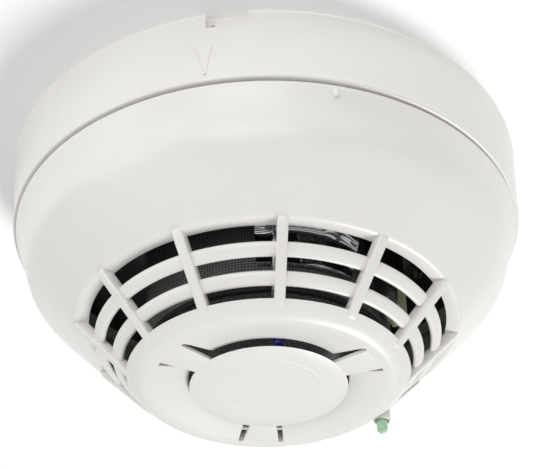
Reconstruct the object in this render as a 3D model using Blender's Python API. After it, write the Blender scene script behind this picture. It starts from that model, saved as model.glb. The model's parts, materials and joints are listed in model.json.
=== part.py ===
"""Ceiling detector with a heat sensor: a twist-on head in a round mounting base.

Sizes are in millimetres. A depth is measured down from the ceiling, so a point
lies at z = -depth. An azimuth turns about +Z from the front, which is -Y, so
azimuth 90 is +X. The origin is the centre of the base's ceiling face.
"""

import math

import bmesh
import bpy
from mathutils import Matrix, Vector

MM = 0.001
CLEARANCE = 0.3                 # left between two pieces that seat on each other
OVERLAP = 0.4                   # how far a shape sinks into the one it is joined to
ROUND_STEPS = 48                # sides of the big turned pieces, a multiple of the ribs

# Overall sizes
BASE_RADIUS = 52.0              # at the ceiling
HEAD_DEPTH = 49.2               # ceiling to the face of the front disc
BASE_DEPTH = 15.3
JOINT_GAP = 0.4                 # dark line between the base and the head

# Mounting base
BASE_WALL = 3.0
BASE_DRAFT = 0.8                # how much narrower the base is at its lower edge
PLATE_RECESS = 1.6              # the plate lies this far below the ceiling
PLATE_THICKNESS = 2.6
WIRE_ENTRY_RADIUS = 17.5
ENTRY_COLLAR = 2.3
SLOT_WIDTH = 4.0
SLOT_LENGTH = 10.0
SCREW_SPACINGS = (60.3, 83.3)   # slots across X, then slots across Y
NOTCH_START, NOTCH_END = -16.2, -7.2    # azimuths of the ceiling-edge notch
NOTCH_HEIGHT = 3.0
NOTCH_DEPTH = 1.6
TOOL_HOLE_RADIUS = 0.75

# Twist lock: the head turns 27.5 degrees from locked to free
LOCK_CENTRES = (-1.25, 118.75, 238.75)
LEDGE_SPAN = 22.0
LEDGE_DEPTH = 9.4
LEDGE_THICKNESS = 1.8
LUG_THICKNESS = 1.7
LEDGE_REACH = 2.9               # how far a ledge stands in from the base wall

# Tamper lock, a small block that drops behind a lug
LOCK_AZIMUTH = -15.0
LOCK_WIDTH = 3.2
LOCK_THICKNESS = 1.8
LOCK_TOP = 2.2
LOCK_LENGTH = 4.8

# Terminals
TERMINALS = (45.0, 135.0, 225.0, 315.0)
TERMINAL_INSET = 11.3           # terminal screws, in from the head's spigot
STRIP_THICKNESS = 0.8
CONTACT_INSET = 6.5             # contact leg, in from the terminal screw
CONTACT_START, CONTACT_END = 9.0, 19.0  # azimuths of the leg from its screw
CONTACT_LEG_END = 12.0
PLATE_SIDE = 7.0
SCREW_HEAD_RADIUS = 3.0
SCREW_HEAD_HEIGHT = 2.2
SCREW_SHANK_RADIUS = 1.4

# Rear shell of the head
SPIGOT_INSET = 6.2              # spigot's outside, in from the base's outside
SHELL_WALL = 2.0
SPIGOT_TOP = 7.0
FLOOR_TOP = 13.0
FLANGE_INSET = 4.6
FLANGE_THICKNESS = 1.5

# Circuit board
BOARD_TOP = 18.0
BOARD_THICKNESS = 1.6
BOARD_INSET = 10.5
BOARD_SCREWS = (30.0, 150.0, 270.0)
BOARD_SCREW_INSET = 3.5
STANDOFF_RADIUS = 3.0

# Smoke chamber
SCREEN_RADIUS = 24.0
SCREEN_THICKNESS = 0.4
SCREEN_FOOT_GAP = 6.6           # screen's lower face, up from the disc
CHAMBER_FLOOR = 1.5
CHAMBER_LIP = 0.6
VANES = 16
VANE_SIZE = (0.9, 4.4)
VANE_TURN = 40.0
OPTIC_RADIUS = 2.5
OPTIC_LENGTH = 6.0
OPTIC_INSET = 11.5              # an optic's nose, in from the screen
EMITTER_AZIMUTH = 200.0
PHOTODIODE_AZIMUTH = 70.0

# Pieces that stand on the board beside the chamber
SHIELD_START, SHIELD_END = -9.0, 33.0
SHIELD_THICKNESS = 0.55
SHIELD_LEAN = 7.2               # its foot stands this far out beyond its lower edge
SHIELD_RISE = 5.1               # its lower edge, up from the screen's lower face
SIDE_GAP = 1.1                  # from the screen out to the pieces beside it
CAPACITOR_AZIMUTH, CAPACITOR_RADIUS = 50.0, 2.0
CAPACITOR_HEIGHT = 21.0
GUIDE_AZIMUTH = 62.0
GUIDE_SIZE = (4.0, 3.0)
GUIDE_HEIGHT = 8.2
GUIDE_POST_HEIGHT = 12.6
LEAD_RADIUS = 0.35
LEAD_SPACING = 1.8
LEAD_GAP = 1.0                  # leads, out from the shield that they run along
LEAD_DROP = 3.0                 # leads end this far below the screen
BEAD_RADIUS = 1.2
BEAD_PLACE = (1.1, 11.9)        # bead's place to the right and in front of the centre

# Status light
LIGHT_AZIMUTH = 120.0
LIGHT_GAP = 3.4                 # from the screen out to the light pipe's centre
PIPE_RADIUS = 1.1
PIPE_TIP = 1.7                  # below the disc
BOSS_RADIUS = 1.75
BOSS_LENGTH = 6.0
BOSS_END = 0.9                  # boss ends this far above the disc
LED_SIDE, LED_HEIGHT = 3.0, 2.1

# Front cover
COVER_STEP = 1.3                # cover's top edge, in from the base's outside
COVER_WALL = 2.2
GRILLE_WALL = 2.7               # measured level
BAND_POINTS = ((3.9, 1.5), (8.0, 2.6), (10.1, 3.6), (12.4, 5.5))  # down, in
FOOT_RADIUS, FOOT_RISE = 27.2, 2.4      # rises are measured up from the disc
RIM_RADIUS, RIM_RISE = 23.6, 0.2
BOWL_RADIUS, BOWL_RISE = 15.4, 1.6
RIM_ROUNDING = ((1.0, 0.07), (2.0, 0.3))    # in and up from the rim's crest
BOWL_WALL = 1.3
GRILLE_HEIGHT = 10.7
RIBS = 12
RIB_WIDTH = 2.0
RIB_PROUD = 0.45
SLAT_RISES = (6.45, 2.65)         # slat centres, up from the foot of the grille
SLAT_HALF_WIDTH, SLAT_HALF_THICKNESS = 1.4, 0.65
SLAT_SETBACK = 1.05

# Disc and its three arms
DISC_RADIUS = 15.2
DISC_THICKNESS = 1.0
ARMS = (-60.0, 60.0, 180.0)
ARM_WIDTHS = (5.3, 7.4)
ARM_REACH = 7.2                 # beyond the disc
ARM_ANCHOR = 1.2                # the arm's end, sunk into the rim
ARM_ROOT = 1.7                  # the arm's start, sunk into the disc
ARM_RISE = 0.36                 # from the arm's start to its end
ARM_SLOT = 1.0

# Raised mark beside the joint line
TICK_AZIMUTH = 10.2
TICK_SIZE = (0.9, 0.8, 2.2)
TICK_DROP = 0.2                 # below the cover's top edge


# ---------------------------------------------------------------- helpers

def material(name, colour, roughness, metallic=0.0):
    made = bpy.data.materials.new(name)
    made.use_nodes = True
    shader = made.node_tree.nodes["Principled BSDF"]
    shader.inputs["Base Color"].default_value = (*colour, 1.0)
    shader.inputs["Roughness"].default_value = roughness
    shader.inputs["Metallic"].default_value = metallic
    return made


def finish_object(name, mesh_builder, finish=None, parent=None, azimuth=0.0):
    """Turns a bmesh into a named object, turned about Z to its azimuth."""
    bmesh.ops.recalc_face_normals(mesh_builder, faces=mesh_builder.faces)
    mesh = bpy.data.meshes.new(name)
    mesh_builder.to_mesh(mesh)
    mesh_builder.free()
    mesh.shade_smooth()
    mesh.set_sharp_from_angle(angle=math.radians(30))
    made = bpy.data.objects.new(name, mesh)
    bpy.context.collection.objects.link(made)
    made.rotation_euler.z = math.radians(azimuth)
    made.parent = parent
    if finish:
        mesh.materials.append(finish)
    return made


def add_turned(builder, outline, start=0.0, end=360.0, steps=ROUND_STEPS):
    """Adds a closed outline of (radius, depth) points, turned about Z."""
    whole = abs(end - start - 360.0) < 1e-6
    rows = []
    for step in range(steps if whole else steps + 1):
        angle = math.radians(start + (end - start) * step / steps)
        rows.append([
            builder.verts.new((r * math.sin(angle) * MM, -r * math.cos(angle) * MM, -d * MM))
            for r, d in outline
        ])
    count = len(outline)
    for i in range(steps):
        row, after = rows[i], rows[(i + 1) % len(rows)]
        for j in range(count):
            k = (j + 1) % count
            builder.faces.new((row[j], row[k], after[k], after[j]))
    if not whole:
        builder.faces.new(rows[0])
        builder.faces.new(rows[-1])
    bmesh.ops.remove_doubles(builder, verts=builder.verts, dist=1e-7)
    bmesh.ops.dissolve_degenerate(builder, edges=builder.edges, dist=1e-7)


def turned(name, outline, finish=None, parent=None, start=0.0, end=360.0, steps=ROUND_STEPS,
           azimuth=0.0):
    builder = bmesh.new()
    add_turned(builder, outline, start, end, steps)
    return finish_object(name, builder, finish, parent, azimuth)


def ring_outline(inner, outer, top, bottom):
    return [(inner, top), (outer, top), (outer, bottom), (inner, bottom)]


def add_prism(builder, corners, top, bottom, azimuth=0.0):
    """Adds a prism whose (x, y) corners run round a flat outline, from top to bottom depth."""
    turn = Matrix.Rotation(math.radians(azimuth), 3, "Z")
    upper, lower = [
        [builder.verts.new(turn @ Vector((x, y, -depth)) * MM) for x, y in corners]
        for depth in (top, bottom)
    ]
    builder.faces.new(upper)
    builder.faces.new(lower)
    for i in range(len(corners)):
        j = (i + 1) % len(corners)
        builder.faces.new((upper[i], upper[j], lower[j], lower[i]))


def rectangle(width, inner, outer):
    """Corners of a block that lies from inner to outer radius at the front."""
    half = width / 2
    return [(-half, -inner), (half, -inner), (half, -outer), (-half, -outer)]


def circle(radius, centre=0.0, steps=16):
    """Corners of a circle at the front, its centre this far out."""
    return [
        (radius * math.cos(2 * math.pi * i / steps), radius * math.sin(2 * math.pi * i / steps) - centre)
        for i in range(steps)
    ]


def prism(name, corners, top, bottom, finish=None, parent=None, azimuth=0.0):
    builder = bmesh.new()
    add_prism(builder, corners, top, bottom)
    return finish_object(name, builder, finish, parent, azimuth)


def boolean(target, tool, operation):
    """Cuts or joins the tool, which is hidden and left out of the object."""
    tool.hide_render = True
    tool.display_type = "WIRE"
    change = target.modifiers.new(tool.name, "BOOLEAN")
    change.operation = operation
    change.solver = "EXACT"
    change.object = tool


def cut(target, tool):
    boolean(target, tool, "DIFFERENCE")


def join(target, tool):
    boolean(target, tool, "UNION")


def empty(name, parent=None, location=(0.0, 0.0, 0.0)):
    made = bpy.data.objects.new(name, None)
    bpy.context.collection.objects.link(made)
    made.parent = parent
    made.location = location
    return made


def bend(first, corner, last, steps):
    """Points on a smooth curve that leaves and arrives along the corner's two sides."""
    points = []
    for i in range(steps + 1):
        t = i / steps
        points.append(tuple(
            (1 - t) ** 2 * a + 2 * t * (1 - t) * b + t * t * c
            for a, b, c in zip(first, corner, last)
        ))
    return points


# ---------------------------------------------------------------- derived sizes

WALL_INSIDE = BASE_RADIUS - BASE_WALL
PLATE_TOP = PLATE_RECESS
PLATE_BOTTOM = PLATE_TOP + PLATE_THICKNESS
SPIGOT_RADIUS = BASE_RADIUS - SPIGOT_INSET
TERMINAL_RADIUS = SPIGOT_RADIUS - TERMINAL_INSET
CONTACT_RADIUS = TERMINAL_RADIUS - CONTACT_INSET
STRIP_TOP = PLATE_BOTTOM + CLEARANCE
STRIP_BOTTOM = STRIP_TOP + STRIP_THICKNESS
CLAMP_TOP = STRIP_BOTTOM + CLEARANCE
CLAMP_BOTTOM = CLAMP_TOP + STRIP_THICKNESS
SCREW_HOLE_RADIUS = SCREW_SHANK_RADIUS + CLEARANCE
BLADE_RADIUS = CONTACT_RADIUS + STRIP_THICKNESS + CLEARANCE

COVER_TOP = BASE_DEPTH + JOINT_GAP
COVER_RADIUS = BASE_RADIUS - COVER_STEP
FLOOR_BOTTOM = FLOOR_TOP + SHELL_WALL
FLANGE_BOTTOM = COVER_TOP + FLANGE_THICKNESS
FLANGE_RADIUS = BASE_RADIUS - FLANGE_INSET
LUG_BOTTOM = LEDGE_DEPTH - CLEARANCE
LUG_RADIUS = WALL_INSIDE - BASE_DRAFT / 2 - CLEARANCE
LOCK_OUTER = LUG_RADIUS - CLEARANCE
LOCK_INNER = LOCK_OUTER - LOCK_THICKNESS

BOARD_RADIUS = BASE_RADIUS - BOARD_INSET
BOARD_BOTTOM = BOARD_TOP + BOARD_THICKNESS
ON_BOARD = BOARD_BOTTOM + CLEARANCE
BOARD_SCREW_RADIUS = BOARD_RADIUS - BOARD_SCREW_INSET

FOOT_DEPTH = HEAD_DEPTH - FOOT_RISE
GRILLE_TOP = FOOT_DEPTH - GRILLE_HEIGHT
BAND = [(COVER_RADIUS - inwards, COVER_TOP + down) for down, inwards in BAND_POINTS]
SHOULDER_RADIUS, SHOULDER_DEPTH = BAND[-1]
RIM_DEPTH = HEAD_DEPTH - RIM_RISE
BOWL_DEPTH = HEAD_DEPTH - BOWL_RISE

SCREEN_BOTTOM = HEAD_DEPTH - SCREEN_FOOT_GAP
CHAMBER_TOP = ON_BOARD + CHAMBER_FLOOR
CAP_BOTTOM = SCREEN_BOTTOM - SCREEN_THICKNESS - CLEARANCE
CAP_TOP = CAP_BOTTOM - 1.0
VANE_BOTTOM = CAP_TOP - CLEARANCE
VANE_RADIUS = SCREEN_RADIUS - SCREEN_THICKNESS - CLEARANCE - VANE_SIZE[1] / 2
SIDE_RADIUS = SCREEN_RADIUS + SIDE_GAP
SHIELD_BOTTOM = SCREEN_BOTTOM - SHIELD_RISE
OPTIC_PLACE = SCREEN_RADIUS - OPTIC_INSET
LIGHT_PLACE = SCREEN_RADIUS + LIGHT_GAP


def cone_radius(depth):
    """Outside of the cover between its shoulder and the foot of the grille."""
    share = (depth - SHOULDER_DEPTH) / (FOOT_DEPTH - SHOULDER_DEPTH)
    return SHOULDER_RADIUS + (FOOT_RADIUS - SHOULDER_RADIUS) * share


def lowest_beside(radius, wanted):
    """The wanted depth, or where a piece of this reach would meet the cover's inside."""
    slope = (SHOULDER_RADIUS - FOOT_RADIUS) / (FOOT_DEPTH - SHOULDER_DEPTH)
    reach = radius + GRILLE_WALL + 2 * CLEARANCE
    return min(wanted, SHOULDER_DEPTH + (SHOULDER_RADIUS - reach) / slope)


# ---------------------------------------------------------------- mounting base

def base_outline():
    lower = BASE_RADIUS - BASE_DRAFT
    edge = 0.3
    return [
        (WIRE_ENTRY_RADIUS, 0), (WIRE_ENTRY_RADIUS + ENTRY_COLLAR, 0),
        (WIRE_ENTRY_RADIUS + ENTRY_COLLAR, PLATE_TOP), (WALL_INSIDE, PLATE_TOP), (WALL_INSIDE, 0),
        (BASE_RADIUS - edge, 0), (BASE_RADIUS, edge), (lower, BASE_DEPTH - edge),
        (lower - edge, BASE_DEPTH), (lower - BASE_WALL + BASE_DRAFT / 2, BASE_DEPTH),
        (WALL_INSIDE, PLATE_BOTTOM), (WIRE_ENTRY_RADIUS, PLATE_BOTTOM),
    ]


def slot_corners(centre):
    """A slot that runs outwards, with round ends."""
    half = SLOT_WIDTH / 2
    straight = (SLOT_LENGTH - SLOT_WIDTH) / 2
    corners = []
    for side in (1, -1):
        for i in range(7):
            angle = math.pi * i / 6
            x = side * half * math.cos(angle)
            y = side * (half * math.sin(angle) + straight) - centre
            corners.append((x, y))
    return corners


def build_base(plastic, parent):
    base = turned("mounting_base", base_outline(), plastic, parent)

    pads = bmesh.new()
    slots = bmesh.new()
    pad_width = SLOT_WIDTH + 4.0
    for azimuth, spacing in zip((90, 270, 0, 180), sorted(SCREW_SPACINGS * 2)):
        centre = spacing / 2
        reach = SLOT_LENGTH / 2 + 2.0
        outer = min(centre + reach, WALL_INSIDE - 0.5)
        add_prism(pads, rectangle(pad_width, centre - reach, outer), 0, PLATE_TOP + OVERLAP, azimuth)
        add_prism(slots, slot_corners(centre), -1, PLATE_BOTTOM + 1, azimuth)
    join(base, finish_object("join_screw_pads", pads, parent=parent))
    cut(base, finish_object("cut_screw_slots", slots, parent=parent))

    ledges = bmesh.new()
    for centre in LOCK_CENTRES:
        outline = ring_outline(
            WALL_INSIDE - LEDGE_REACH + BASE_DRAFT / 2, WALL_INSIDE + OVERLAP,
            LEDGE_DEPTH, LEDGE_DEPTH + LEDGE_THICKNESS)
        add_turned(ledges, outline, centre - LEDGE_SPAN / 2, centre + LEDGE_SPAN / 2, 6)
    join(base, finish_object("join_ledges", ledges, parent=parent))

    screw_holes = bmesh.new()
    for azimuth in TERMINALS:
        corners = circle(SCREW_HOLE_RADIUS, TERMINAL_RADIUS, 12)
        add_prism(screw_holes, corners, PLATE_TOP - 1, PLATE_BOTTOM + 1, azimuth)
    cut(base, finish_object("cut_terminal_holes", screw_holes, parent=parent))

    notch = ring_outline(BASE_RADIUS - NOTCH_DEPTH, BASE_RADIUS + 2, -1, NOTCH_HEIGHT)
    cut(base, turned("cut_edge_notch", notch, None, parent, NOTCH_START, NOTCH_END, 4))

    lock_slot = rectangle(
        LOCK_WIDTH + 2 * CLEARANCE, LOCK_INNER - CLEARANCE, LOCK_OUTER + CLEARANCE)
    cut(base, prism("cut_lock_slot", lock_slot, PLATE_TOP - 1, PLATE_BOTTOM + 1, None, parent,
                    LOCK_AZIMUTH))

    tool_hole = bmesh.new()
    bmesh.ops.create_cone(
        tool_hole, cap_ends=True, segments=12, radius1=TOOL_HOLE_RADIUS * MM,
        radius2=TOOL_HOLE_RADIUS * MM, depth=8 * MM,
        matrix=Matrix.Translation(Vector((0, -BASE_RADIUS + 1, -LOCK_TOP - 0.4)) * MM)
        @ Matrix.Rotation(math.radians(90), 4, "X"))
    cut(base, finish_object("cut_tool_hole", tool_hole, parent=parent, azimuth=LOCK_AZIMUTH + 0.3))
    return base


def build_tamper_lock(plastic, parent):
    corners = rectangle(LOCK_WIDTH, LOCK_INNER, LOCK_OUTER)
    prism("tamper_lock", corners, LOCK_TOP, LOCK_TOP + LOCK_LENGTH, plastic, parent, LOCK_AZIMUTH)


def build_terminal(number, azimuth, metal, screw_metal, parent):
    """One terminal: contact strip with its leg, clamp plate and screw."""
    strip_outline = ring_outline(
        CONTACT_RADIUS, TERMINAL_RADIUS + PLATE_SIDE / 2 - 1, STRIP_TOP, STRIP_BOTTOM)
    strip = turned(f"contact_spring_{number}", strip_outline, metal, parent, -8, CONTACT_END, 6,
                   azimuth)
    leg_outline = ring_outline(
        CONTACT_RADIUS, CONTACT_RADIUS + STRIP_THICKNESS, STRIP_BOTTOM - OVERLAP, CONTACT_LEG_END)
    join(strip, turned(f"join_leg_{number}", leg_outline, None, parent, CONTACT_START,
                       CONTACT_END - 0.5, 3, azimuth))
    hole = circle(SCREW_HOLE_RADIUS, TERMINAL_RADIUS, 12)
    cut(strip, prism(f"cut_strip_hole_{number}", hole, STRIP_TOP - 1, STRIP_BOTTOM + 1, None,
                     parent, azimuth))

    half = PLATE_SIDE / 2
    clamp_corners = rectangle(PLATE_SIDE, TERMINAL_RADIUS - half, TERMINAL_RADIUS + half)
    clamp = prism(f"clamp_plate_{number}", clamp_corners, CLAMP_TOP, CLAMP_BOTTOM, metal, parent,
                  azimuth)
    cut(clamp, prism(f"cut_clamp_hole_{number}", hole, CLAMP_TOP - 1, CLAMP_BOTTOM + 1, None,
                     parent, azimuth))

    head_top = CLAMP_BOTTOM + CLEARANCE
    add_screw(f"terminal_screw_{number}", TERMINAL_RADIUS, azimuth, PLATE_TOP + 0.6, head_top,
              screw_metal, parent)


def add_screw(name, radius, azimuth, shank_top, head_top, metal, parent):
    """A pan-head screw that points up, with a cross slot in its head."""
    head_bottom = head_top + SCREW_HEAD_HEIGHT
    outline = [
        (0, shank_top), (SCREW_SHANK_RADIUS, shank_top), (SCREW_SHANK_RADIUS, head_top),
        (SCREW_HEAD_RADIUS, head_top), (SCREW_HEAD_RADIUS, head_bottom - 0.8),
        (SCREW_HEAD_RADIUS - 0.8, head_bottom), (0, head_bottom),
    ]
    place = empty(f"place_{name}", parent, polar(radius, azimuth))
    place.rotation_euler.z = math.radians(azimuth)
    screw = turned(name, outline, metal, place, steps=16)
    slots = bmesh.new()
    long, wide = SCREW_HEAD_RADIUS * 0.62, 0.45
    cross = [
        (wide, wide), (wide, long), (-wide, long), (-wide, wide), (-long, wide), (-long, -wide),
        (-wide, -wide), (-wide, -long), (wide, -long), (wide, -wide), (long, -wide), (long, wide),
    ]
    add_prism(slots, cross, head_bottom - 1.1, head_bottom + 1)
    cut(screw, finish_object(f"cut_{name}", slots, parent=place))


def polar(radius, azimuth, depth=0.0):
    angle = math.radians(azimuth)
    return Vector((radius * math.sin(angle), -radius * math.cos(angle), -depth)) * MM


# ---------------------------------------------------------------- head

def build_rear_shell(plastic, parent):
    inside = SPIGOT_RADIUS - SHELL_WALL
    outline = [
        (0, FLOOR_TOP), (inside, FLOOR_TOP), (inside, SPIGOT_TOP), (SPIGOT_RADIUS, SPIGOT_TOP),
        (SPIGOT_RADIUS, COVER_TOP), (FLANGE_RADIUS, COVER_TOP), (FLANGE_RADIUS, FLANGE_BOTTOM),
        (inside, FLANGE_BOTTOM), (inside, FLOOR_BOTTOM), (0, FLOOR_BOTTOM),
    ]
    shell = turned("rear_shell", outline, plastic, parent)

    lugs = bmesh.new()
    for centre in LOCK_CENTRES:
        lug = ring_outline(SPIGOT_RADIUS - OVERLAP, LUG_RADIUS, LUG_BOTTOM - LUG_THICKNESS, LUG_BOTTOM)
        add_turned(lugs, lug, centre - LEDGE_SPAN / 2, centre + LEDGE_SPAN / 2, 6)
    join(shell, finish_object("join_lugs", lugs, parent=parent))

    standoffs = bmesh.new()
    holes = bmesh.new()
    for azimuth in BOARD_SCREWS:
        add_prism(standoffs, circle(STANDOFF_RADIUS, BOARD_SCREW_RADIUS), FLOOR_BOTTOM - OVERLAP,
                  BOARD_TOP - CLEARANCE, azimuth)
        add_prism(holes, circle(SCREW_HOLE_RADIUS, BOARD_SCREW_RADIUS, 12), FLOOR_TOP + 0.9,
                  BOARD_TOP + 1, azimuth)
    join(shell, finish_object("join_standoffs", standoffs, parent=parent))
    cut(shell, finish_object("cut_standoff_holes", holes, parent=parent))

    slots = bmesh.new()
    for azimuth in TERMINALS:
        slot = ring_outline(
            BLADE_RADIUS - CLEARANCE, BLADE_RADIUS + STRIP_THICKNESS + CLEARANCE,
            FLOOR_TOP - 1, FLOOR_BOTTOM + 1)
        add_turned(slots, slot, azimuth + CONTACT_START - 1, azimuth + CONTACT_END + 1, 3)
    cut(shell, finish_object("cut_blade_slots", slots, parent=parent))


def build_contact_blades(metal, parent):
    for number, azimuth in enumerate(TERMINALS, 1):
        outline = ring_outline(
            BLADE_RADIUS, BLADE_RADIUS + STRIP_THICKNESS, STRIP_BOTTOM + 1.5, BOARD_TOP - CLEARANCE)
        turned(f"contact_blade_{number}", outline, metal, parent, CONTACT_START, CONTACT_END, 3,
               azimuth)


def build_board(laminate, screw_metal, parent):
    board = turned("circuit_board", [
        (0, BOARD_TOP), (BOARD_RADIUS, BOARD_TOP), (BOARD_RADIUS, BOARD_BOTTOM), (0, BOARD_BOTTOM),
    ], laminate, parent, steps=48)
    holes = bmesh.new()
    for azimuth in BOARD_SCREWS:
        add_prism(holes, circle(SCREW_HOLE_RADIUS, BOARD_SCREW_RADIUS, 12), BOARD_TOP - 1,
                  BOARD_BOTTOM + 1, azimuth)
    cut(board, finish_object("cut_board_holes", holes, parent=parent))
    for number, azimuth in enumerate(BOARD_SCREWS, 1):
        add_screw(f"board_screw_{number}", BOARD_SCREW_RADIUS, azimuth, FLOOR_TOP + 1.3, ON_BOARD,
                  screw_metal, parent)


def build_chamber(black, mesh_metal, parent):
    floor_radius = SCREEN_RADIUS + CHAMBER_LIP
    base = turned("chamber_base", [
        (0, ON_BOARD), (floor_radius, ON_BOARD), (floor_radius, CHAMBER_TOP), (0, CHAMBER_TOP),
    ], black, parent, steps=48)
    vanes = bmesh.new()
    turn = Matrix.Rotation(math.radians(VANE_TURN), 2)
    for i in range(VANES):
        corners = []
        for x, y in rectangle(VANE_SIZE[0], -VANE_SIZE[1] / 2, VANE_SIZE[1] / 2):
            turned_corner = turn @ Vector((x, y))
            corners.append((turned_corner.x, turned_corner.y - VANE_RADIUS))
        add_prism(vanes, corners, CHAMBER_TOP - OVERLAP, VANE_BOTTOM, 360 * i / VANES)
    join(base, finish_object("join_vanes", vanes, parent=parent))

    middle = (CHAMBER_TOP + VANE_BOTTOM) / 2
    posts = bmesh.new()
    for azimuth in (EMITTER_AZIMUTH, PHOTODIODE_AZIMUTH):
        add_prism(posts, rectangle(4.0, OPTIC_PLACE + 0.8, OPTIC_PLACE + OPTIC_LENGTH - 0.8),
                  CHAMBER_TOP - OVERLAP, middle - OPTIC_RADIUS - CLEARANCE, azimuth)
    add_prism(posts, rectangle(GUIDE_SIZE[0], floor_radius - CLEARANCE, SIDE_RADIUS + GUIDE_SIZE[1]),
              ON_BOARD + CLEARANCE, ON_BOARD + GUIDE_POST_HEIGHT, GUIDE_AZIMUTH)
    join(base, finish_object("join_posts", posts, parent=parent))

    cap_radius = SCREEN_RADIUS - SCREEN_THICKNESS - CLEARANCE
    turned("chamber_cap", [
        (0, CAP_TOP), (cap_radius, CAP_TOP), (cap_radius, CAP_BOTTOM), (0, CAP_BOTTOM),
    ], black, parent, steps=48)

    inside = SCREEN_RADIUS - SCREEN_THICKNESS
    screen_top = CHAMBER_TOP + CLEARANCE
    turned("insect_screen", [
        (0, SCREEN_BOTTOM - SCREEN_THICKNESS), (inside, SCREEN_BOTTOM - SCREEN_THICKNESS),
        (inside, screen_top), (SCREEN_RADIUS, screen_top), (SCREEN_RADIUS, SCREEN_BOTTOM),
        (0, SCREEN_BOTTOM),
    ], mesh_metal, parent, steps=60)


def build_optic(name, azimuth, finish, parent):
    """A round-nosed lamp or photodiode that lies level and looks at the centre."""
    depth = (CHAMBER_TOP + VANE_BOTTOM) / 2
    nose = OPTIC_RADIUS
    builder = bmesh.new()
    outline = [(0, OPTIC_LENGTH), (OPTIC_RADIUS, OPTIC_LENGTH), (OPTIC_RADIUS, nose)]
    for i in range(1, 4):
        angle = math.pi / 2 * i / 4
        outline.append((OPTIC_RADIUS * math.cos(angle), nose - nose * math.sin(angle)))
    outline.append((0, 0))
    add_turned(builder, outline, steps=16)
    lay_down = Matrix.Rotation(math.radians(90), 4, "X")
    place = Matrix.Translation(Vector((0, -OPTIC_PLACE, -depth)) * MM)
    bmesh.ops.transform(builder, matrix=place @ lay_down.inverted(), verts=builder.verts)
    finish_object(name, builder, finish, parent, azimuth)


def build_board_pieces(finishes, parent):
    """Everything that stands on the board beside the chamber."""
    shield_foot = SIDE_RADIUS + SHIELD_LEAN
    shield = turned("sensor_shield", [
        (shield_foot, ON_BOARD), (shield_foot + SHIELD_THICKNESS, ON_BOARD),
        (SIDE_RADIUS + SHIELD_THICKNESS, SHIELD_BOTTOM), (SIDE_RADIUS, SHIELD_BOTTOM),
    ], finishes["shield"], parent, SHIELD_START, SHIELD_END, 14)
    foot = ring_outline(shield_foot, shield_foot + 1.8, ON_BOARD, ON_BOARD + SHIELD_THICKNESS)
    join(shield, turned("join_shield_foot", foot, None, parent, SHIELD_START + 20, SHIELD_END - 3, 4))

    place = SIDE_RADIUS + CLEARANCE + CAPACITOR_RADIUS
    prism("capacitor", circle(CAPACITOR_RADIUS, place), ON_BOARD,
          lowest_beside(place + CAPACITOR_RADIUS, ON_BOARD + CAPACITOR_HEIGHT),
          finishes["capacitor"], parent, CAPACITOR_AZIMUTH)

    width, thickness = GUIDE_SIZE
    outer = SIDE_RADIUS + thickness
    guide_top = ON_BOARD + GUIDE_POST_HEIGHT + CLEARANCE
    prism("light_guide", rectangle(width, SIDE_RADIUS, outer), guide_top,
          lowest_beside(outer, guide_top + GUIDE_HEIGHT), finishes["guide"], parent, GUIDE_AZIMUTH)

    side = 9.0
    place = (SIDE_RADIUS + BOARD_RADIUS) / 2
    prism("microcontroller", rectangle(side, place - side / 2, place + side / 2), ON_BOARD,
          ON_BOARD + 1.4, finishes["chip"], parent, 180)


def lead_route():
    """One half of the hairpin, as (x, distance in front, depth), from the board to the bead."""
    shift, bead_place = BEAD_PLACE
    half = LEAD_SPACING / 2
    lean = SHIELD_LEAN / (SHIELD_BOTTOM - ON_BOARD)
    outer = SIDE_RADIUS + SHIELD_LEAN + SHIELD_THICKNESS + LEAD_GAP
    start, low = ON_BOARD + LEAD_RADIUS, SCREEN_BOTTOM + LEAD_DROP
    beside = SCREEN_BOTTOM - 4.6
    knee = (outer - lean * (beside - start), beside)
    side = [(outer, start)]
    side += bend(knee, (SIDE_RADIUS + 0.5, SCREEN_BOTTOM + 0.8),
                 (SCREEN_RADIUS - 1.5, SCREEN_BOTTOM + 1.5), 5)
    inner = bead_place + BEAD_RADIUS + LEAD_RADIUS + CLEARANCE
    turn = bend((half, inner + half), (half, inner), (0, inner), 3)
    return [(half, *point) for point in side] + [(x + shift, r, low) for x, r in turn]


def build_thermistor(bead_finish, lead_finish, parent):
    """Bead on a hairpin of wire that runs down beside the shield and in under the screen."""
    shift, bead_place = BEAD_PLACE
    route = lead_route()
    back = [(-x, r, d) for x, r, d in route[:-1]]
    turning = len(route) - 4
    back[turning:] = [(2 * shift - x, r, d) for x, r, d in route[turning:-1]]
    route += reversed(back)

    curve = bpy.data.curves.new("thermistor_leads", "CURVE")
    curve.dimensions = "3D"
    curve.bevel_depth = LEAD_RADIUS * MM
    curve.bevel_resolution = 1
    curve.use_fill_caps = True
    spline = curve.splines.new("POLY")
    spline.points.add(len(route) - 1)
    for point, (x, radius, depth) in zip(spline.points, route):
        point.co = (x * MM, -radius * MM, -depth * MM, 1)
    curve.materials.append(lead_finish)
    leads = bpy.data.objects.new("thermistor_leads", curve)
    bpy.context.collection.objects.link(leads)
    leads.parent = parent

    bead = bmesh.new()
    bmesh.ops.create_uvsphere(bead, u_segments=14, v_segments=8, radius=BEAD_RADIUS * MM)
    bead_object = finish_object("thermistor", bead, bead_finish, parent)
    bead_object.location = Vector((shift, -bead_place, -(SCREEN_BOTTOM + LEAD_DROP + 0.5))) * MM


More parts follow.
